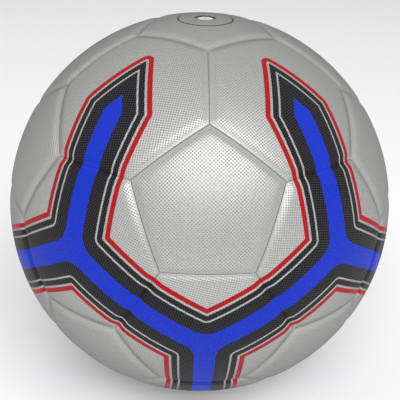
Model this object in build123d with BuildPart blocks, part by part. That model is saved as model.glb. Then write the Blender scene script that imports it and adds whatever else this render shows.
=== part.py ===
"""A size 4 futsal ball: 32 cover panels over a carcass, a bladder and a valve.

The frame's origin is the ball's centre, +Z runs out through the valve, and the ball's front faces
-Y. Units are millimetres. The seams follow a truncated icosahedron projected on the ball: a
pentagon at each end of the Z axis, five in a ring above the middle and five in a ring below it,
with hexagons between them.
"""
import os
from math import acos, asin, atan, cos, degrees, pi, radians, sin, sqrt

from build123d import *

# Driving dimensions
ball_radius = 100.0
cover_thickness = 1.2  # grained polyurethane
foam_thickness = 2.4
fabric_thickness = 0.6  # woven backing of each panel
tape_thickness = 0.3  # over each seam, on the inside
tape_width = 6.0
carcass_thickness = 0.5
bladder_thickness = 0.8
lining_thickness = 3.0  # felt that deadens the bounce
glue_line = 0.05  # between layers, and between neighbouring panels

groove_width = 2.4  # of a cover panel's sloped edge, either side of a seam
groove_depth = 0.8
seam_channel = 2.4  # between two foam pads, for the seam's thread
thread_diameter = 0.8
seam_end_gap = 2.8  # from a corner to the end of a seam's thread and tape

collar_radius = 5.15  # valve housing, where it shows in the cover
collar_clearance = 0.1
collar_drop = 0.2  # of the collar's face below the cover around it
head_radius = 4.15  # valve plug
head_height = 2.4
head_drop = 0.3  # of the plug's face below the collar's
stem_radius = 2.9
stem_length = 17.0
plug_clearance = 0.05
needle_radius = 0.9
needle_depth = 14.0
sleeve_wall = 1.4
flange_radius = 12.0
flange_thickness = 1.2
patch_radius = 24.0
patch_thickness = 1.0
weight_radius = 14.0  # balances the valve, at the other end of the axis
weight_thickness = 1.5

# Layers, from the surface in
cover_inner = ball_radius - cover_thickness
foam_outer = cover_inner - glue_line
foam_inner = foam_outer - foam_thickness
fabric_outer = foam_inner - glue_line
fabric_inner = fabric_outer - fabric_thickness
tape_outer = fabric_inner - 2 * glue_line
tape_inner = tape_outer - tape_thickness
carcass_outer = tape_inner - glue_line
carcass_inner = carcass_outer - carcass_thickness
bladder_outer = carcass_inner - glue_line
bladder_inner = bladder_outer - bladder_thickness
lining_outer = bladder_inner - glue_line
lining_inner = lining_outer - lining_thickness

# The valve's stack, along +Z
opening_radius = collar_radius + collar_clearance
cover_top = sqrt(ball_radius**2 - opening_radius**2)  # of the cover round the valve
collar_top = cover_top - collar_drop
head_top = collar_top - head_drop
stem_top = head_top - head_height
stem_bottom = stem_top - stem_length

# Truncated icosahedron
edge_ratio = 4 / sqrt(58 + 18 * sqrt(5))  # an edge, for corners on a sphere of radius 1
edge_angle = degrees(2 * asin(edge_ratio / 2))
ring_elevation = degrees(atan(0.5))  # of a ring of pentagons from the middle
neighbour_angle = degrees(acos(1 / sqrt(5)))  # between the axes of neighbouring pentagons


def direction(azimuth, elevation):
    """Unit vector, with azimuth measured from +X about +Z."""
    level = cos(radians(elevation))
    return Vector(
        level * cos(radians(azimuth)), level * sin(radians(azimuth)), sin(radians(elevation))
    )


def facing(outward, across):
    """Plane through the centre with its normal along outward and its X side towards across."""
    return Plane(origin=(0, 0, 0), x_dir=across - outward * outward.dot(across), z_dir=outward)


def polygon_radius(side_count, height, inset):
    """Corner radius of a panel's outline, on a flat plane at that height over the centre."""
    flat = edge_ratio / (2 * sin(pi / side_count))
    return height * flat / sqrt(1 - flat**2) - inset / cos(pi / side_count)


def make_layer(side_count, outer, inner, inset):
    """One layer of a panel that faces +Z, with flat sides through the seams."""
    with BuildPart() as layer:
        for height in (0.9 * inner * cos(radians(edge_angle)), 1.1 * outer):
            with BuildSketch(Plane.XY.offset(height)):
                RegularPolygon(polygon_radius(side_count, height, inset), side_count)
        loft(ruled=True)
        Sphere(outer, rotation=(90, 0, 0), mode=Mode.INTERSECT)
        Sphere(inner, rotation=(90, 0, 0), mode=Mode.SUBTRACT)
    return layer


def make_cover(side_count):
    """The grained outer layer of a panel that faces +Z, sloped off towards each seam."""
    tilt = atan(polygon_radius(side_count, 1, 0) * cos(pi / side_count))
    with BuildPart() as cover:
        add(make_layer(side_count, ball_radius, cover_inner, glue_line / 2).part)
        for k in range(side_count):
            turn = (2 * k + 1) * pi / side_count
            past_seam = Vector(cos(tilt) * cos(turn), cos(tilt) * sin(turn), -sin(tilt))
            side_middle = Vector(sin(tilt) * cos(turn), sin(tilt) * sin(turn), cos(tilt))
            with BuildSketch(Plane((0, 0, 0), past_seam, past_seam.cross(side_middle))):
                Polygon(
                    (-2 * groove_width, ball_radius + groove_depth),
                    (groove_width, ball_radius - 2 * groove_depth),
                    (groove_width, ball_radius + groove_depth),
                    align=None,
                )
            revolve(axis=Axis((0, 0, 0), past_seam), mode=Mode.SUBTRACT)
    return cover


def ring_sector(outer, inner, start, stop):
    """Sketch in the XZ plane between two radii and two angles from the +Z pole."""
    with BuildSketch(Plane.XZ) as sector:
        with BuildLine():
            outer_arc = CenterArc((0, 0), outer, 90 - stop, stop - start)
            inner_arc = CenterArc((0, 0), inner, 90 - stop, stop - start)
            Line(outer_arc @ 0, inner_arc @ 0)
            Line(outer_arc @ 1, inner_arc @ 1)
        make_face()
    return sector.sketch


def pole_angle(across, radius):
    """Angle from the pole to a circle of radius across, drawn on a sphere of that radius."""
    return degrees(asin(across / radius))


def save(piece, name):
    piece.part.label = name
    export_step(piece.part, f"parts/{name}.step")


os.makedirs("parts", exist_ok=True)

# Directions of the panels
top = Vector(0, 0, 1)
bottom = Vector(0, 0, -1)
upper = [direction(72 * k - 90, ring_elevation) for k in range(5)]
lower = [direction(72 * k - 54, -ring_elevation) for k in range(5)]
pentagon_axes = [top, *upper, *lower, bottom]

pentagon_places = {"top": facing(top, upper[0]), "bottom": facing(bottom, lower[0])}
hexagon_places = {}
for k in range(5):
    after = (k + 1) % 5
    pentagon_places[f"upper_{k + 1}"] = facing(upper[k], top)
    pentagon_places[f"lower_{k + 1}"] = facing(lower[k], bottom)
    rows = {
        "top": (top, upper[k], upper[after]),
        "upper": (lower[k], upper[k], upper[after]),
        "lower": (upper[after], lower[after], lower[k]),
        "bottom": (bottom, lower[after], lower[k]),
    }
    for row, (first, second, foot) in rows.items():
        outward = (first + second + foot).normalized()
        hexagon_places[f"{row}_{k + 1}"] = facing(outward, outward.cross(foot))

# Seams: each joins two corners that are one edge apart
corners = [
    (2 * near + far).normalized()
    for near in pentagon_axes
    for far in pentagon_axes
    if 1 < near.get_angle(far) < neighbour_angle + 1
]
seams = [
    (corners[i], corners[j])
    for i in range(len(corners))
    for j in range(i)
    if corners[i].get_angle(corners[j]) < edge_angle + 1
]
end_angle = degrees(seam_end_gap / ball_radius)
seam_arc = edge_angle - 2 * end_angle
seam_places = []
for start, stop in seams:
    along = (stop - start).normalized()
    middle = (start + stop).normalized()
    seam_places.append(facing(middle, along).location)

# Cover panels: the top one is open round the valve, the bottom one is flat where it rests
pentagon_cover = make_cover(5)
hexagon_cover = make_cover(6)

for name, place in pentagon_places.items():
    with BuildPart() as pentagon_panel:
        with Locations(place.location):
            add(pentagon_cover.part)
        if name == "top":
            Cylinder(opening_radius, 2 * ball_radius + 10, mode=Mode.SUBTRACT)
        if name == "bottom":
            split(bisect_by=Plane.XY.offset(-cover_top), keep=Keep.TOP)
    save(pentagon_panel, f"pentagon_panel_{name}")

for name, place in hexagon_places.items():
    with BuildPart() as hexagon_panel:
        with Locations(place.location):
            add(hexagon_cover.part)
    save(hexagon_panel, f"hexagon_panel_{name}")

# Foam pads and woven backings, one behind each panel
pentagon_foam = make_layer(5, foam_outer, foam_inner, seam_channel / 2)
hexagon_foam = make_layer(6, foam_outer, foam_inner, seam_channel / 2)
pentagon_fabric = make_layer(5, fabric_outer, fabric_inner, glue_line / 2)
hexagon_fabric = make_layer(6, fabric_outer, fabric_inner, glue_line / 2)

with BuildPart() as pentagon_foam_pads:
    with Locations(*[place.location for place in pentagon_places.values()]):
        add(pentagon_foam.part)
    with Locations((0, 0, ball_radius)):
        Cylinder(opening_radius, ball_radius, mode=Mode.SUBTRACT)
save(pentagon_foam_pads, "pentagon_foam_pads")

with BuildPart() as hexagon_foam_pads:
    with Locations(*[place.location for place in hexagon_places.values()]):
        add(hexagon_foam.part)
save(hexagon_foam_pads, "hexagon_foam_pads")

with BuildPart() as pentagon_backings:
    with Locations(*[place.location for place in pentagon_places.values()]):
        add(pentagon_fabric.part)
    with Locations((0, 0, ball_radius)):
        Cylinder(opening_radius, ball_radius, mode=Mode.SUBTRACT)
save(pentagon_backings, "pentagon_backings")

with BuildPart() as hexagon_backings:
    with Locations(*[place.location for place in hexagon_places.values()]):
        add(hexagon_fabric.part)
save(hexagon_backings, "hexagon_backings")

# Seam thread, in the channel between foam pads, and the tape inside each seam
thread_radius = (foam_outer + foam_inner) / 2
seam_start = Plane.YZ.rotated((0, -seam_arc / 2, 0))

with BuildPart() as one_thread:
    with BuildSketch(seam_start):
        with Locations((0, thread_radius)):
            Circle(thread_diameter / 2)
    revolve(axis=Axis.Y, revolution_arc=seam_arc)

with BuildPart() as seam_threads:
    with Locations(*seam_places):
        add(one_thread.part)
save(seam_threads, "seam_threads")

with BuildPart() as one_tape:
    with BuildSketch(seam_start):
        with Locations((0, (tape_outer + tape_inner) / 2)):
            Rectangle(tape_width, tape_thickness)
    revolve(axis=Axis.Y, revolution_arc=seam_arc)

with BuildPart() as seam_tapes:
    with Locations(*seam_places):
        add(one_tape.part)
save(seam_tapes, "seam_tapes")

# Carcass, bladder and felt lining, each a closed shell with a way through for the valve
with BuildPart() as carcass:
    way_in = pole_angle(opening_radius, carcass_inner)
    revolve(ring_sector(carcass_outer, carcass_inner, way_in, 180), axis=Axis.Z)
save(carcass, "carcass")

with BuildPart() as bladder:
    way_in = pole_angle(opening_radius, bladder_inner)
    revolve(ring_sector(bladder_outer, bladder_inner, way_in, 180), axis=Axis.Z)
save(bladder, "bladder")

with BuildPart() as felt_lining:
    patch_edge = pole_angle(patch_radius + 1, lining_inner)
    weight_edge = 180 - pole_angle(weight_radius + 1, lining_inner)
    revolve(ring_sector(lining_outer, lining_inner, patch_edge, weight_edge), axis=Axis.Z)
save(felt_lining, "felt_lining")

with BuildPart() as balance_weight:
    weight_edge = 180 - pole_angle(weight_radius, lining_outer)
    weight_inner = lining_outer - weight_thickness
    revolve(ring_sector(lining_outer, weight_inner, weight_edge, 180), axis=Axis.Z)
save(balance_weight, "balance_weight")

# Valve housing: a collar in the cover, a sleeve for the plug and a flange inside the bladder
flange_outer = lining_outer
flange_inner = flange_outer - flange_thickness
sleeve_radius = stem_radius + plug_clearance + sleeve_wall
with BuildPart() as valve_housing:
    flange_edge = pole_angle(flange_radius, flange_outer)
    revolve(ring_sector(flange_outer, flange_inner, 0, flange_edge), axis=Axis.Z)
    with BuildSketch(Plane.XY.offset(flange_inner)):
        Circle(collar_radius)
    extrude(amount=collar_top - flange_inner)
    with BuildSketch(Plane.XY.offset(stem_bottom)):
        Circle(sleeve_radius)
    extrude(amount=flange_inner + flange_thickness / 2 - stem_bottom)
    with Locations((0, 0, collar_top)):
        CounterBoreHole(
            radius=stem_radius + plug_clearance,
            counter_bore_radius=head_radius + plug_clearance,
            counter_bore_depth=head_drop + head_height + plug_clearance,
        )
    rim = valve_housing.edges().filter_by(GeomType.CIRCLE).group_by(Axis.Z)[-1]
    fillet(rim.sort_by(SortBy.RADIUS)[-1], radius=0.4)
save(valve_housing, "valve_housing")

# Patch that holds the flange to the bladder, stepped over the flange's edge
patch_outer = flange_inner - glue_line
patch_inner = patch_outer - patch_thickness
step_angle = pole_angle(flange_radius + 2 * glue_line, flange_inner)
shoulder_angle = pole_angle(flange_radius + 2 * glue_line + patch_thickness, patch_outer)
with BuildPart() as valve_patch:
    hole_angle = pole_angle(sleeve_radius + glue_line, patch_inner)
    rim_angle = pole_angle(patch_radius, flange_outer)
    revolve(ring_sector(patch_outer, patch_inner, hole_angle, shoulder_angle), axis=Axis.Z)
    revolve(ring_sector(flange_outer, patch_inner, step_angle, shoulder_angle), axis=Axis.Z)
    outer_ring = ring_sector(flange_outer, flange_outer - patch_thickness, step_angle, rim_angle)
    revolve(outer_ring, axis=Axis.Z)
save(valve_patch, "valve_patch")

# Valve plug, with a blind bore for the pump's needle
with BuildPart() as valve_plug:
    with BuildSketch(Plane.XY.offset(stem_bottom)):
        Circle(stem_radius)
    extrude(amount=stem_length)
    with BuildSketch(Plane.XY.offset(stem_top)):
        Circle(head_radius)
    extrude(amount=head_height)
    chamfer(valve_plug.edges().filter_by(GeomType.CIRCLE).sort_by(Axis.Z)[0], length=0.6)
    fillet(valve_plug.edges().filter_by(GeomType.CIRCLE).sort_by(Axis.Z)[-1], radius=0.5)
    with Locations((0, 0, head_top)):
        Hole(radius=needle_radius, depth=needle_depth)
save(valve_plug, "valve_plug")

print("panels:", len(pentagon_places), "pentagons and", len(hexagon_places), "hexagons")
print("seams:", len(seams), "of", round(radians(edge_angle) * ball_radius, 2), "mm")
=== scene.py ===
import bpy
import numpy as np
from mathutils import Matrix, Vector


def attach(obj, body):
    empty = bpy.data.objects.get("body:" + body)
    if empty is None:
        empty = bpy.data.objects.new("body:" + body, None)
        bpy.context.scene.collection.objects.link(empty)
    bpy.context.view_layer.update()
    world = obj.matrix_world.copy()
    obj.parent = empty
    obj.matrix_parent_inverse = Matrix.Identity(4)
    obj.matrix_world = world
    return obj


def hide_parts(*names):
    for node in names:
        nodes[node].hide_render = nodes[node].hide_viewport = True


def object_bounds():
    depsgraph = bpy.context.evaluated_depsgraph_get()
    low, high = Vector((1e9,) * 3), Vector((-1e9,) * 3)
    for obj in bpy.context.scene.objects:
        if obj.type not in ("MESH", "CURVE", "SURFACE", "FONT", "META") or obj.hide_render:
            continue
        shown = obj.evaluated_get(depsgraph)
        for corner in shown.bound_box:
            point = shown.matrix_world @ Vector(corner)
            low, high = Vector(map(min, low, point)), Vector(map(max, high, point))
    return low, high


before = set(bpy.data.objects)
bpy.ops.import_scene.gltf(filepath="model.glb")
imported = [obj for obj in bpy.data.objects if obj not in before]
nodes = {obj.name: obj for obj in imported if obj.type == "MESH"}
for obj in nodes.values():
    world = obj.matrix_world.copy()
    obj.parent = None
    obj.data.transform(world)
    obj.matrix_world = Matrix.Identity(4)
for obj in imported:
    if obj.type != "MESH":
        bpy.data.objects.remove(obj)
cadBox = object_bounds()
mm = 0.001
print("frame loaded:", len(nodes), "nodes")


def newMaterial(name, **settings):
    # a material with one Principled shader, whose sockets take the given values
    material = bpy.data.materials.new(name)
    material.use_nodes = True
    shader = material.node_tree.nodes["Principled BSDF"]
    for socket, value in settings.items():
        shader.inputs[socket.replace("_", " ")].default_value = value
    return material, material.node_tree, shader


def addNode(tree, kind, inputs=None, **properties):
    # a node with its properties set, and its inputs set to a value or linked to a socket
    node = tree.nodes.new(kind)
    for key, value in properties.items():
        setattr(node, key, value)
    for key, value in (inputs or {}).items():
        if isinstance(value, bpy.types.NodeSocket):
            tree.links.new(value, node.inputs[key])
        else:
            node.inputs[key].default_value = value
    return node


def calc(tree, operation, first, second=0.0, third=0.0):
    node = addNode(tree, "ShaderNodeMath", {0: first, 1: second, 2: third}, operation=operation)
    return node.outputs[0]


def mixColour(tree, factor, first, second):
    node = addNode(tree, "ShaderNodeMix", {0: factor, 6: first, 7: second}, data_type="RGBA")
    return node.outputs[2]


def newGroup(name, inputs, outputs):
    # a shader node group; inputs and outputs are (name, socket type)
    group = bpy.data.node_groups.new(name, "ShaderNodeTree")
    for label, kind in inputs:
        group.interface.new_socket(label, in_out="INPUT", socket_type=kind)
    for label, kind in outputs:
        group.interface.new_socket(label, in_out="OUTPUT", socket_type=kind)
    return group, group.nodes.new("NodeGroupInput"), group.nodes.new("NodeGroupOutput")


def useGroup(tree, group, **inputs):
    return addNode(tree, "ShaderNodeGroup", inputs, node_tree=group)


def makeInkGroup():
    # mask of a print from its distance to the print's edge: one inside, none outside, a soft edge
    group, start, end = newGroup(
        "inkMask",
        [("Distance", "NodeSocketFloat"), ("Edge", "NodeSocketFloat")],
        [("Mask", "NodeSocketFloat")],
    )
    low = calc(group, "MULTIPLY", start.outputs["Edge"], -1.0)
    ramp = addNode(
        group, "ShaderNodeMapRange",
        {"Value": start.outputs["Distance"], "From Min": low, "From Max": start.outputs["Edge"],
         "To Min": 1.0, "To Max": 0.0},
        interpolation_type="SMOOTHSTEP",
    )
    group.links.new(ramp.outputs[0], end.inputs["Mask"])
    return group


pitLook = {
    "wobbleScale": 0.9,  # of the noise, per mm
    "wobble": 0.16,  # mm, how far the noise shifts a pit
    "flatBelow": -0.05,  # of the crossed cosines, where a pit begins
    "fullAbove": 0.85,  # and where it has its whole depth
    "leastDepth": 0.7,
    "depthSpread": 0.5,
}


def makePitGroup():
    # embossed grain: the product of two crossed cosines makes rows of pits, each row set half a
    # pitch beside the last, and noise makes each pit a little different
    look = pitLook
    group, start, end = newGroup(
        "embossedPits",
        [("Place", "NodeSocketVector"), ("Pitch", "NodeSocketFloat")],
        [("Depth", "NodeSocketFloat")],
    )
    parts = addNode(group, "ShaderNodeSeparateXYZ", {0: start.outputs["Place"]})
    turn = calc(group, "DIVIDE", 2 * np.pi, start.outputs["Pitch"])
    wobble = addNode(
        group, "ShaderNodeTexNoise",
        {"Vector": start.outputs["Place"], "Scale": look["wobbleScale"], "Detail": 1.0},
    )
    shift = calc(group, "MULTIPLY", wobble.outputs[0], look["wobble"])
    across = calc(group, "MULTIPLY", calc(group, "ADD", parts.outputs[0], shift), turn)
    along = calc(group, "MULTIPLY", calc(group, "ADD", parts.outputs[1], shift), turn)
    rows = calc(group, "MULTIPLY", calc(group, "COSINE", across), calc(group, "COSINE", along))
    rounded = addNode(
        group, "ShaderNodeMapRange",
        {"Value": rows, "From Min": look["flatBelow"], "From Max": look["fullAbove"], "To Min": 0.0,
         "To Max": 1.0},
        interpolation_type="SMOOTHSTEP",
    )
    uneven = calc(group, "MULTIPLY_ADD", wobble.outputs[0], look["depthSpread"], look["leastDepth"])
    depth = calc(group, "MULTIPLY", rounded.outputs[0], uneven)
    group.links.new(depth, end.inputs["Depth"])
    return group


def makeWeaveGroup():
    # plain weave on Object coordinates: two sets of ribs, each standing proud in turn
    group, start, end = newGroup(
        "plainWeave",
        [("Place", "NodeSocketVector"), ("Threads", "NodeSocketFloat")],
        [("Height", "NodeSocketFloat"), ("Shade", "NodeSocketFloat")],
    )
    scaled = addNode(
        group, "ShaderNodeVectorMath", {0: start.outputs["Place"]}, operation="SCALE"
    )
    group.links.new(start.outputs["Threads"], scaled.inputs["Scale"])
    parts = addNode(group, "ShaderNodeSeparateXYZ", {0: scaled.outputs[0]})
    waves = [calc(group, "SINE", parts.outputs[axis]) for axis in range(3)]
    pair = calc(group, "MULTIPLY", waves[0], waves[1])
    third = calc(group, "MULTIPLY", waves[2], 0.5)
    height = calc(group, "ADD", calc(group, "MULTIPLY", pair, 0.5), third)
    noise = addNode(
        group, "ShaderNodeTexNoise", {"Vector": start.outputs["Place"], "Scale": 90.0, "Detail": 4.0}
    )
    group.links.new(height, end.inputs["Height"])
    group.links.new(noise.outputs[0], end.inputs["Shade"])
    return group


def makeMottleGroup():
    # moulded or soft surface: broad mottle for colour and fine grain for height
    group, start, end = newGroup(
        "mottle",
        [("Place", "NodeSocketVector"), ("Size", "NodeSocketFloat"), ("Grain", "NodeSocketFloat")],
        [("Shade", "NodeSocketFloat"), ("Height", "NodeSocketFloat")],
    )
    place, size, grain = [start.outputs[label] for label in ("Place", "Size", "Grain")]
    broad = addNode(group, "ShaderNodeTexNoise", {"Vector": place, "Scale": size, "Detail": 5.0})
    fine = addNode(group, "ShaderNodeTexNoise", {"Vector": place, "Scale": grain, "Detail": 2.0})
    group.links.new(broad.outputs[0], end.inputs["Shade"])
    group.links.new(fine.outputs[0], end.inputs["Height"])
    return group


inkGroup = makeInkGroup()
pitGroup = makePitGroup()
weaveGroup = makeWeaveGroup()
mottleGroup = makeMottleGroup()


coverLook = {
    "pearl": (0.475, 0.475, 0.467, 1.0),
    "pearlShade": (0.435, 0.435, 0.43, 1.0),
    # painted shade towards the rim, partly the flop of pearl paint
    "pearlRimShade": (0.10, 0.10, 0.097, 1.0),
    # painted shade in the pits of the grain
    "pearlPaintedPitShade": (0.20, 0.20, 0.195, 1.0),
    "pitShade": 0.5,
    # painted shade in the seam valleys, partly dirt
    "seamDustAndShade": (0.22, 0.215, 0.19, 1.0),
    "seamDustAndShadeStrength": 0.38,
    "seamDustAndShadeWidth": 1.7,  # mm
    "black": (0.004, 0.0035, 0.005, 1.0),
    "blackPit": (0.046, 0.045, 0.052, 1.0),
    "blue": (0.003, 0.026, 0.47, 1.0),
    "red": (0.36, 0.003, 0.006, 1.0),
    "inkEdge": 0.09,  # mm
    "pitPitch": 1.6,  # mm
    "pitDepth": 0.25,  # mm
    "roughness": 0.37,
    "inkRoughness": 0.48,
    "metallic": 0.50,
    "specular": 0.18,
    "mottleSize": 22.0,
    "fineGrain": 2600.0,
    "fineHeight": 0.006,  # mm
    "roughnessSpread": 0.08,
    "stretchFrom": 0.2,  # mm from a seam, where the grain is flattest
    "stretchTo": 2.6,  # mm from a seam, where it has its whole depth
    "stretchLeast": 0.15,
}


def makeCoverMaterial():
    look = coverLook
    material, tree, shader = newMaterial("printedCover", Specular_IOR_Level=look["specular"])

    def attribute(name, output):
        return addNode(tree, "ShaderNodeAttribute", attribute_name=name).outputs[output]

    place = attribute("panelPlace", "Vector")
    black, blue, red = [
        useGroup(tree, inkGroup, Distance=attribute(name, "Fac"), Edge=look["inkEdge"]).outputs[0]
        for name in ("inkBlack", "inkBlue", "inkRed")
    ]
    fromSeam = attribute("fromSeam", "Fac")
    objectPlace = addNode(tree, "ShaderNodeTexCoord").outputs["Object"]
    mottle = useGroup(
        tree, mottleGroup, Place=objectPlace, Size=look["mottleSize"], Grain=look["fineGrain"]
    )
    pits = useGroup(tree, pitGroup, Place=place, Pitch=look["pitPitch"]).outputs[0]
    # the grain is stretched flat where the cover turns down into a seam
    stretch = addNode(
        tree, "ShaderNodeMapRange",
        {"Value": fromSeam, "From Min": look["stretchFrom"], "From Max": look["stretchTo"],
         "To Min": look["stretchLeast"], "To Max": 1.0},
        interpolation_type="SMOOTHSTEP",
    ).outputs[0]
    pit = calc(tree, "MULTIPLY", pits, stretch)
    base = mixColour(tree, mottle.outputs["Shade"], look["pearlShade"], look["pearl"])
    # painted shade towards the rim, partly the flop of pearl paint: the pearl darkens by the square of
    # the facing weight
    facing = addNode(tree, "ShaderNodeLayerWeight", {"Blend": 0.5}).outputs["Facing"]
    away = calc(tree, "POWER", facing, 2.0)
    base = mixColour(tree, away, base, look["pearlRimShade"])
    # painted shade in the pits of the grain: the pearl darkens with each pit's depth
    base = mixColour(tree, calc(tree, "MULTIPLY", pit, look["pitShade"]), base, look["pearlPaintedPitShade"])
    # painted shade in the seam valleys, partly dirt that settles in the seams: a smooth step down over
    # the first part of the distance to one
    seamDustAndShade = addNode(
        tree, "ShaderNodeMapRange",
        {"Value": fromSeam, "From Min": 0.0, "From Max": look["seamDustAndShadeWidth"], "To Min": look["seamDustAndShadeStrength"],
         "To Max": 0.0},
        interpolation_type="SMOOTHSTEP",
    ).outputs[0]
    base = mixColour(tree, seamDustAndShade, base, look["seamDustAndShade"])
    # the black ink is paler in the pits
    inkedBlack = mixColour(tree, pit, look["black"], look["blackPit"])
    colour = mixColour(tree, black, base, inkedBlack)
    colour = mixColour(tree, blue, colour, look["blue"])
    colour = mixColour(tree, red, colour, look["red"])
    tree.links.new(colour, shader.inputs["Base Color"])
    ink = calc(tree, "MAXIMUM", calc(tree, "MAXIMUM", black, blue), red)
    rough = addNode(
        tree, "ShaderNodeMapRange",
        {"Value": ink, "To Min": look["roughness"], "To Max": look["inkRoughness"]},
    ).outputs[0]
    rough = calc(tree, "MULTIPLY_ADD", mottle.outputs["Shade"], look["roughnessSpread"], rough)
    tree.links.new(rough, shader.inputs["Roughness"])
    bare, towards = calc(tree, "SUBTRACT", 1.0, ink), calc(tree, "SUBTRACT", 1.0, away)
    metal = calc(tree, "MULTIPLY", calc(tree, "MULTIPLY", bare, towards), look["metallic"])
    tree.links.new(metal, shader.inputs["Metallic"])
    fine = calc(tree, "MULTIPLY", mottle.outputs["Height"], look["fineHeight"])
    height = calc(tree, "MULTIPLY_ADD", pit, -look["pitDepth"], fine)
    bump = addNode(tree, "ShaderNodeBump", {"Height": height, "Distance": mm, "Strength": 1.0})
    tree.links.new(bump.outputs[0], shader.inputs["Normal"])
    return material


coverMaterial = makeCoverMaterial()


def outlineDistance(points, outline):
    # distance to a closed outline, below zero inside: least distance to its sides, with the sign
    # from how often a ray to the right crosses them
    corners = np.array(outline, float)
    after = np.roll(corners, -1, axis=0)
    side = after - corners
    offset = points[:, None, :] - corners[None]
    share = np.clip((offset * side).sum(2) / np.maximum((side**2).sum(1), 1e-9), 0, 1)
    gap = np.linalg.norm(offset - share[..., None] * side, axis=2).min(1)
    x, y = points[:, :1], points[:, 1:]
    spans = (corners[:, 1] > y) != (after[:, 1] > y)
    rise = np.where(side[:, 1] == 0, 1e-9, side[:, 1])
    crossing = corners[:, 0] + (y - corners[:, 1]) * side[:, 0] / rise
    inside = (spans & (x < crossing)).sum(1) % 2 == 1
    return np.where(inside, -gap, gap)


fieldLimit = 3.0  # mm, the farthest distance from a print's edge that a panel keeps

bandLook = {
    "halfWidth": 15.0,  # mm, from a band's middle to its edge
    "lineInset": 3.2,  # mm, pearl line inside the edge
    "lineWidth": 0.9,
    "blueInset": 10.2,  # mm, from the edge to the blue
    "redOffset": 2.3,  # mm, red line outside the edge
    "redWidth": 2.4,
    "reach": 60.0,  # mm, past the panel's side, so that no end shows at a seam
    "shoulder": 8.0,  # mm, where a single band starts to narrow
    "tip": -18.0,  # mm, where it ends, past the panel's middle
}
bandTurns = np.radians([90, 210, 330])  # toward the three neighbours that are hexagons


def bandStripes(p, outline):
    # plain stripes that follow a band's edge: red outside it, then black, a pearl line, black, blue
    look = bandLook
    edge = outlineDistance(p, outline)
    black = np.maximum(edge, look["lineWidth"] / 2 - np.abs(edge + look["lineInset"]))
    red = np.abs(edge - look["redOffset"]) - look["redWidth"] / 2
    return black, edge + look["blueInset"], red


def bandPlaces(turn, *places):
    # places given along a band and beside it, turned into the panel's own directions
    along = np.array([np.cos(turn), np.sin(turn)])
    beside = np.array([-np.sin(turn), np.cos(turn)])
    return [along * forward + beside * side for forward, side in places]


def threeBands(p):
    # a hexagon round the middle of the ball: three straight bands that meet
    half, reach = bandLook["halfWidth"], bandLook["reach"]
    meeting = half / np.tan(np.pi / 3)
    outline = []
    for turn in bandTurns:
        outline += bandPlaces(turn, (reach, -half), (reach, half), (meeting, half))
    return bandStripes(p, outline)


def singleBand(p):
    # a hexagon beside a pole: one band that comes in and ends in a point
    half, reach, shoulder = bandLook["halfWidth"], bandLook["reach"], bandLook["shoulder"]
    outline = bandPlaces(bandTurns[1], (reach, -half), (reach, half), (shoulder, half),
                         (bandLook["tip"], 0), (shoulder, -half))
    return bandStripes(p, outline)


valveCircle = {"radius": 13.4, "width": 0.8}  # mm


def pentagonPrint(name, p):
    # plain, but for a thin circle round the valve
    blank = np.full(len(p), fieldLimit)
    if name != "pentagon_panel_top":
        return blank, blank, blank
    circle = np.abs(np.linalg.norm(p, axis=1) - valveCircle["radius"]) - valveCircle["width"] / 2
    return circle, blank, blank


panelShape = {
    "radius": 100.0,  # mm, ball
    "underside": 98.84,  # mm, radius
    "undersideRows": 12,
    "valleyDepth": 1.1,  # mm, along a seam
    "valleyWidth": 2.3,  # mm, in which the valley loses most of its depth
    "cornerBlend": 6,  # how closely the valleys keep to their own seams where they meet
    "gap": 0.03,  # mm, each side of a seam
    "hexagonRings": 84,
    "pentagonRings": 44,
    "valveRings": 72,
    "valveSideSteps": 72,
    "valveOpening": 5.25,  # mm
    "restHeight": 99.862,  # mm, of the flat under the ball below its centre
}


def bearing(azimuth, elevation):
    turn, rise = np.radians(azimuth), np.radians(elevation)
    return np.array([np.cos(rise) * np.cos(turn), np.cos(rise) * np.sin(turn), np.sin(rise)])


def unit(vector):
    return vector / np.linalg.norm(vector)


def panelFrames():
    # centre, across and up directions of each panel, by node name; up points away from its foot
    ring = np.degrees(np.arctan(0.5))
    top, bottom = np.array([0.0, 0, 1]), np.array([0.0, 0, -1])
    upper = [bearing(72 * k - 90, ring) for k in range(5)]
    lower = [bearing(72 * k - 54, -ring) for k in range(5)]
    frames = {"pentagon_panel_top": (top, upper[0]), "pentagon_panel_bottom": (bottom, lower[0])}
    for k in range(5):
        after = (k + 1) % 5
        frames[f"pentagon_panel_upper_{k + 1}"] = (upper[k], top)
        frames[f"pentagon_panel_lower_{k + 1}"] = (lower[k], bottom)
        rows = {
            "top": (top, upper[k], upper[after]), "upper": (lower[k], upper[k], upper[after]),
            "lower": (upper[after], lower[after], lower[k]), "bottom": (bottom, lower[after], lower[k]),
        }
        for row, corners in rows.items():
            centre = unit(sum(corners))
            frames[f"hexagon_panel_{row}_{k + 1}"] = (centre, np.cross(centre, corners[2]))
    placed = {}
    for name, (centre, across) in frames.items():
        across = unit(across - centre * (across @ centre))
        placed[name] = (centre, across, np.cross(centre, across))
    return placed


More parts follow.
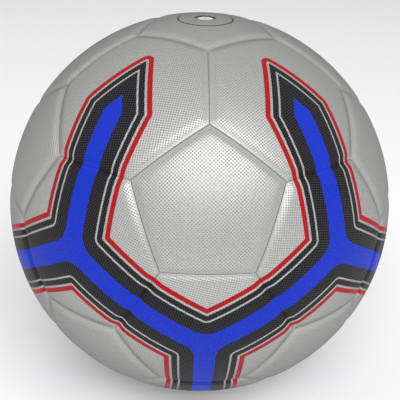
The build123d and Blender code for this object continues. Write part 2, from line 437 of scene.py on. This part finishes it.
def fanGrid(sideCount, rings):
    # ring k is a small copy of the outline with k points a side, so the spacing is even all over;
    # gives places for an outline of corner radius 1, and triangles
    turns = 2 * np.pi * np.arange(sideCount + 1) / sideCount
    corners = np.stack([np.cos(turns), np.sin(turns)], axis=1)
    places, triangles, start = [np.zeros((1, 2))], [], [0, 1]
    for k in range(1, rings + 1):
        side, step = np.divmod(np.arange(sideCount * k), k)
        share = (step / k)[:, None]
        places.append((k / rings) * (corners[side] * (1 - share) + corners[side + 1] * share))
        start.append(start[-1] + sideCount * k)
        here, within = start[k], start[k - 1]
        inner = sideCount * (k - 1)
        outerNext = here + (side * k + step + 1) % (sideCount * k)
        innerHere = within + (side * (k - 1) + step) % max(inner, 1)
        triangles.append(np.stack([innerHere, here + side * k + step, outerNext], axis=1))
        keep = step < k - 1
        innerNext = within + (side * (k - 1) + step + 1) % max(inner, 1)
        triangles.append(np.stack([innerHere, outerNext, innerNext], axis=1)[keep])
    return np.concatenate(places), np.concatenate(triangles), start[-2]


def ringGrid(sideCount, hole, outlineRadius, around, rings):
    # from a round hole to the outline: each place runs straight from the hole's edge to the side
    side, step = np.divmod(np.arange(sideCount * around), around)
    turns = 2 * np.pi * np.arange(sideCount + 1) / sideCount
    corners = outlineRadius * np.stack([np.cos(turns), np.sin(turns)], axis=1)
    share = (step / around)[:, None]
    rim = corners[side] * (1 - share) + corners[side + 1] * share
    inner = hole * rim / np.linalg.norm(rim, axis=1)[:, None]
    out = np.linspace(0, 1, rings + 1)[:, None, None]
    places = (inner * (1 - out) + rim * out).reshape(-1, 2)
    count = sideCount * around
    row, column = np.divmod(np.arange(rings * count), count)
    here = row * count + column
    beside = row * count + (column + 1) % count
    triangles = np.concatenate([
        np.stack([here, here + count, beside + count], axis=1),
        np.stack([here, beside + count, beside], axis=1),
    ])
    return places, triangles, rings * count


def outlineCorner(sideCount, height):
    # corner radius of a panel's outline on a flat plane that touches the ball; edge is the side of
    # a truncated icosahedron whose corners are 1 from its middle
    edge = 4 / np.sqrt(58 + 18 * np.sqrt(5))
    flat = edge / (2 * np.sin(np.pi / sideCount))
    return height * flat / np.sqrt(1 - flat**2)


def ontoBall(places, radius):
    # places on a plane that touches the ball, thrown in along its radii
    spots = np.column_stack([places, np.full(len(places), panelShape["radius"])])
    return radius * spots / np.linalg.norm(spots, axis=1)[:, None]


def strip(outer, inner):
    # triangles between two closed rows of points
    outerNext, innerNext = np.roll(outer, -1), np.roll(inner, -1)
    return np.concatenate([
        np.stack([outer, inner, innerNext], axis=1),
        np.stack([outer, innerNext, outerNext], axis=1),
    ])


def newMesh(name, points, triangles):
    mesh = bpy.data.meshes.new(name)
    mesh.vertices.add(len(points))
    mesh.vertices.foreach_set("co", (points * mm).ravel())
    mesh.loops.add(triangles.size)
    mesh.loops.foreach_set("vertex_index", triangles.ravel().astype(np.int32))
    mesh.polygons.add(len(triangles))
    mesh.polygons.foreach_set("loop_start", np.arange(0, triangles.size, 3, dtype=np.int32))
    mesh.polygons.foreach_set("loop_total", np.full(len(triangles), 3, dtype=np.int32))
    mesh.update(calc_edges=True)
    mesh.validate()
    mesh.shade_smooth()
    return mesh


def makePanel(name, centre, across, up):
    # places on a plane that touches the ball are thrown in to the ball along its radii, and the
    # radius falls towards each seam as a bell curve of the distance to it
    shape = panelShape
    sideCount = 6 if name.startswith("hexagon") else 5
    corner = outlineCorner(sideCount, shape["radius"]) - shape["gap"] / np.cos(np.pi / sideCount)
    opened = name == "pentagon_panel_top"
    if opened:
        places, triangles, rimStart = ringGrid(
            5, shape["valveOpening"], corner, shape["valveSideSteps"], shape["valveRings"]
        )
    else:
        rings = shape["hexagonRings"] if sideCount == 6 else shape["pentagonRings"]
        places, triangles, rimStart = fanGrid(sideCount, rings)
        places = places * corner
    axes = np.array([across, up, centre])
    outward = ontoBall(places, 1.0)
    middles = 2 * np.pi * (np.arange(sideCount) + 0.5) / sideCount
    tilt = np.arctan(outlineCorner(sideCount, 1.0) * np.cos(np.pi / sideCount))
    level = np.cos(tilt) * np.array([np.cos(middles), np.sin(middles)])
    sides = np.vstack([level, np.full(sideCount, -np.sin(tilt))])
    toSides = -shape["radius"] * np.arcsin(np.clip(outward @ sides, -1, 1))
    blend = shape["cornerBlend"]
    fall = (np.exp(-blend * (toSides / shape["valleyWidth"]) ** 2).sum(1)) ** (1 / blend)
    fromSeam = toSides.min(1)
    radius = shape["radius"] - shape["valleyDepth"] * np.minimum(fall, 1.0)
    points = outward * radius[:, None]
    # the wall under the rim and the underside, row by row: the rim's places drawn in to the middle
    # or to the edge of the valve's opening
    rim = np.arange(rimStart, len(points))
    inner = places[: len(rim)] if opened else np.zeros((1, 2))
    source, row, rows = [np.arange(len(points))], rim, shape["undersideRows"]
    for share in np.arange(rows + opened) / rows:
        below = len(points) + np.arange(len(rim))
        triangles = np.concatenate([triangles, strip(row, below)])
        drawn = ontoBall(places[rim] * (1 - share) + inner * share, shape["underside"])
        points, row = np.concatenate([points, drawn]), below
        source.append(rim)
    if opened:
        triangles = np.concatenate([triangles, strip(row, np.arange(len(rim)))])
    else:
        middle = np.full(len(rim), len(points))
        triangles = np.concatenate([triangles, np.stack([row, middle, np.roll(row, -1)], axis=1)])
        points = np.concatenate([points, [[0, 0, shape["underside"]]]])
        source.append([0])
    source = np.concatenate(source)
    points = points @ axes
    if name == "pentagon_panel_bottom":
        points[:, 2] = np.maximum(points[:, 2], -shape["restHeight"])
    mesh = newMesh(name + "_skin", points, triangles)
    if sideCount == 5:
        black, blue, red = pentagonPrint(name, places)
    elif "_top_" in name or "_bottom_" in name:
        black, blue, red = singleBand(places)
    else:
        black, blue, red = threeBands(places)
    fields = {"inkBlack": black, "inkBlue": blue, "inkRed": red, "fromSeam": fromSeam}
    for label, field in fields.items():
        layer = mesh.attributes.new(label, "FLOAT", "POINT")
        kept = np.clip(field[source], -fieldLimit, fieldLimit)
        layer.data.foreach_set("value", kept.astype(np.float32))
    layer = mesh.attributes.new("panelPlace", "FLOAT_VECTOR", "POINT")
    spots = np.column_stack([places, np.zeros(len(places))])[source]
    layer.data.foreach_set("vector", spots.astype(np.float32).ravel())
    panel = bpy.data.objects.new(name + "_skin", mesh)
    bpy.context.scene.collection.objects.link(panel)
    mesh.materials.append(coverMaterial)
    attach(panel, "ball")
    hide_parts(name)


for name, (centre, across, up) in panelFrames().items():
    makePanel(name, centre, across, up)
print("cover panels made")


# each node's material: name, pattern, dark and pale colours, roughness, height of the pattern in mm
innerLooks = {
    "pentagon_foam_pads":
        ("closedCellFoam", "mottle", (0.80, 0.78, 0.70), (0.88, 0.86, 0.80), 0.85, 0.10),
    "pentagon_backings":
        ("wovenBacking", "weave", (0.62, 0.57, 0.46), (0.74, 0.70, 0.60), 0.90, 0.12),
    "seam_threads": ("waxedThread", "weave", (0.72, 0.70, 0.62), (0.86, 0.84, 0.78), 0.55, 0.06),
    "seam_tapes": ("clothTape", "weave", (0.50, 0.47, 0.40), (0.60, 0.58, 0.50), 0.80, 0.08),
    "carcass": ("bondedCloth", "weave", (0.58, 0.52, 0.40), (0.70, 0.65, 0.54), 0.75, 0.12),
    "bladder":
        ("butylRubber", "mottle", (0.030, 0.030, 0.033), (0.052, 0.052, 0.056), 0.48, 0.03),
    "felt_lining": ("needledFelt", "mottle", (0.30, 0.30, 0.32), (0.46, 0.46, 0.48), 0.97, 0.30),
    "balance_weight":
        ("weightRubber", "mottle", (0.07, 0.07, 0.075), (0.11, 0.11, 0.12), 0.60, 0.05),
    "valve_housing":
        ("valveRubber", "mottle", (0.018, 0.018, 0.020), (0.034, 0.034, 0.038), 0.42, 0.02),
    "valve_patch": ("patchRubber", "mottle", (0.09, 0.08, 0.08), (0.14, 0.13, 0.13), 0.70, 0.06),
    "valve_plug": ("creamRubber", "mottle", (0.56, 0.53, 0.44), (0.66, 0.63, 0.54), 0.50, 0.02),
}
innerPattern = {"threads": 5200.0, "mottleSize": 140.0, "grain": 3000.0, "roughnessSpread": 0.14}


def makeInnerMaterial(name, effect, dark, pale, roughness, depth):
    look, spread = innerPattern, innerPattern["roughnessSpread"]
    material, tree, shader = newMaterial(name, Roughness=roughness)
    place = addNode(tree, "ShaderNodeTexCoord").outputs["Object"]
    if effect == "weave":
        pattern = useGroup(tree, weaveGroup, Place=place, Threads=look["threads"])
    else:
        pattern = useGroup(
            tree, mottleGroup, Place=place, Size=look["mottleSize"], Grain=look["grain"]
        )
    colour = mixColour(tree, pattern.outputs["Shade"], (*dark, 1.0), (*pale, 1.0))
    tree.links.new(colour, shader.inputs["Base Color"])
    rough = calc(tree, "MULTIPLY_ADD", pattern.outputs["Shade"], spread, roughness - spread / 2)
    tree.links.new(rough, shader.inputs["Roughness"])
    bump = addNode(
        tree, "ShaderNodeBump",
        {"Height": pattern.outputs["Height"], "Distance": depth * mm, "Strength": 1.0},
    )
    tree.links.new(bump.outputs[0], shader.inputs["Normal"])
    return material


innerMaterials = {node: makeInnerMaterial(*look) for node, look in innerLooks.items()}
innerMaterials["hexagon_foam_pads"] = innerMaterials["pentagon_foam_pads"]
innerMaterials["hexagon_backings"] = innerMaterials["pentagon_backings"]
for node, material in innerMaterials.items():
    for slot in nodes[node].material_slots:
        slot.material = material
print("inner layers dressed")


studio = {
    "floorSize": 12.0,
    "floorGap": 0.00005,  # under the ball
    "floorRoughness": 0.75,
    "floorColour": (0.90, 0.90, 0.90, 1.0),
    "world": (1.0, 1.0, 1.0, 1.0),
    "worldStrength": 0.58,
    "azimuth": -2.6,  # degrees, round the ball from straight in front
    "elevation": 27.76,
    "roll": 1.8,
    "distance": 0.376,
    "focal": 61.8,
    "sensor": 36.0,
    "shift": (0.001, 0.004),
}
# direction from the ball, distance, width and height, and power of each light
lights = {
    "key": ((0.12, -0.64, 0.76), 2.2, (2.2, 1.2), 44.0),
    "fill": ((-1.0, -0.2, 0.9), 2.2, (1.6, 1.6), 4.0),
}


def makeFloor():
    half = studio["floorSize"] / 2
    low = cadBox[0][2] - studio["floorGap"]
    mesh = bpy.data.meshes.new("floor")
    corners = [(-half, -half, low), (half, -half, low), (half, half, low), (-half, half, low)]
    mesh.from_pydata(corners, [], [(0, 1, 2, 3)])
    floor = bpy.data.objects.new("floor", mesh)
    bpy.context.scene.collection.objects.link(floor)
    settings = {"Base_Color": studio["floorColour"], "Roughness": studio["floorRoughness"]}
    mesh.materials.append(newMaterial("paleFloor", **settings)[0])


def makeLight(name, towards, distance, size, power):
    # a soft light at a distance along a direction, facing the ball; size is its width and height
    light = bpy.data.lights.new(name, "AREA")
    light.shape = "RECTANGLE"
    light.size, light.size_y = size
    light.energy = power
    lamp = bpy.data.objects.new(name, light)
    away = Vector(towards).normalized()
    lamp.location = away * distance
    lamp.rotation_euler = away.to_track_quat("Z", "Y").to_euler()
    bpy.context.scene.collection.objects.link(lamp)


def makeCamera():
    azimuth, elevation, roll = np.radians([studio["azimuth"], studio["elevation"], studio["roll"]])
    level = np.cos(elevation)
    back = Vector((np.sin(azimuth) * level, -np.cos(azimuth) * level, np.sin(elevation)))
    lens = bpy.data.cameras.new("camera")
    lens.lens = studio["focal"]
    lens.sensor_width = studio["sensor"]
    lens.shift_x, lens.shift_y = studio["shift"]
    camera = bpy.data.objects.new("camera", lens)
    camera.location = back * studio["distance"]
    camera.rotation_euler = back.to_track_quat("Z", "Y").to_euler()
    camera.rotation_euler.rotate_axis("Z", roll)
    bpy.context.scene.collection.objects.link(camera)
    bpy.context.scene.camera = camera


makeFloor()
for name, light in lights.items():
    makeLight(name, *light)
makeCamera()
world = bpy.data.worlds.new("studio")
bpy.context.scene.world = world
world.use_nodes = True
background = world.node_tree.nodes["Background"]
background.inputs["Color"].default_value = studio["world"]
background.inputs["Strength"].default_value = studio["worldStrength"]
bpy.context.scene.view_settings.view_transform = "Standard"
print("studio set")
